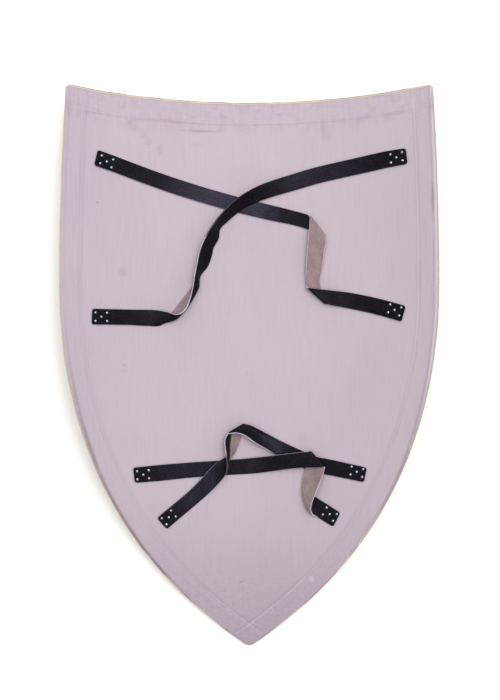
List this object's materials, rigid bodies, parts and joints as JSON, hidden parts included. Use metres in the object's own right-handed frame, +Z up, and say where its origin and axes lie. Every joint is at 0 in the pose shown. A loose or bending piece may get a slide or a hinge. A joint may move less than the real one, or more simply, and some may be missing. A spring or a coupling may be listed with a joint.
{
  "type": "heater shield",
  "caption": "Curved heater shield lying on its front, its canvas-edged back up, with leather arm and hand straps nailed on.",
  "frame": {"origin": "on the ground under the middle of the shield's overall box, as it lies on its curved front", "axes": "+Y towards the straight top edge, +Z up out of the strapped back, X across the bend"},
  "size_m": [0.5574, 0.8586, 0.1067],
  "materials": {
    "painted_wood": "thin matt off-white paint with a faint lilac cast",
    "canvas": "matt glued canvas, painted on the back, bare at the rim",
    "leather": "black dyed grain with a soft sheen, pale suede on the flesh side",
    "steel": "small bright domed nail heads"
  },
  "bodies": {
    "root": {"board": "painted_wood", "canvas_cover": "canvas", "strap_upper_left": "leather", "strap_upper_right": "leather", "strap_lower_left": "leather", "strap_lower_right": "leather", "nail_upper_left_01": "steel", "nail_upper_left_02": "steel", "nail_upper_left_03": "steel", "nail_upper_left_04": "steel", "nail_upper_left_05": "steel", "nail_upper_left_06": "steel", "nail_upper_left_07": "steel", "nail_upper_left_08": "steel", "nail_upper_left_09": "steel", "nail_upper_left_10": "steel", "nail_upper_right_01": "steel", "nail_upper_right_02": "steel", "nail_upper_right_03": "steel", "nail_upper_right_04": "steel", "nail_upper_right_05": "steel", "nail_upper_right_06": "steel", "nail_upper_right_07": "steel", "nail_upper_right_08": "steel", "nail_upper_right_09": "steel", "nail_upper_right_10": "steel", "nail_lower_left_01": "steel", "nail_lower_left_02": "steel", "nail_lower_left_03": "steel", "nail_lower_left_04": "steel", "nail_lower_left_05": "steel", "nail_lower_left_06": "steel", "nail_lower_left_07": "steel", "nail_lower_left_08": "steel", "nail_lower_left_09": "steel", "nail_lower_left_10": "steel", "nail_lower_right_01": "steel", "nail_lower_right_02": "steel", "nail_lower_right_03": "steel", "nail_lower_right_04": "steel", "nail_lower_right_05": "steel", "nail_lower_right_06": "steel", "nail_lower_right_07": "steel", "nail_lower_right_08": "steel", "nail_lower_right_09": "steel", "nail_lower_right_10": "steel"}
  },
  "joints": []
}
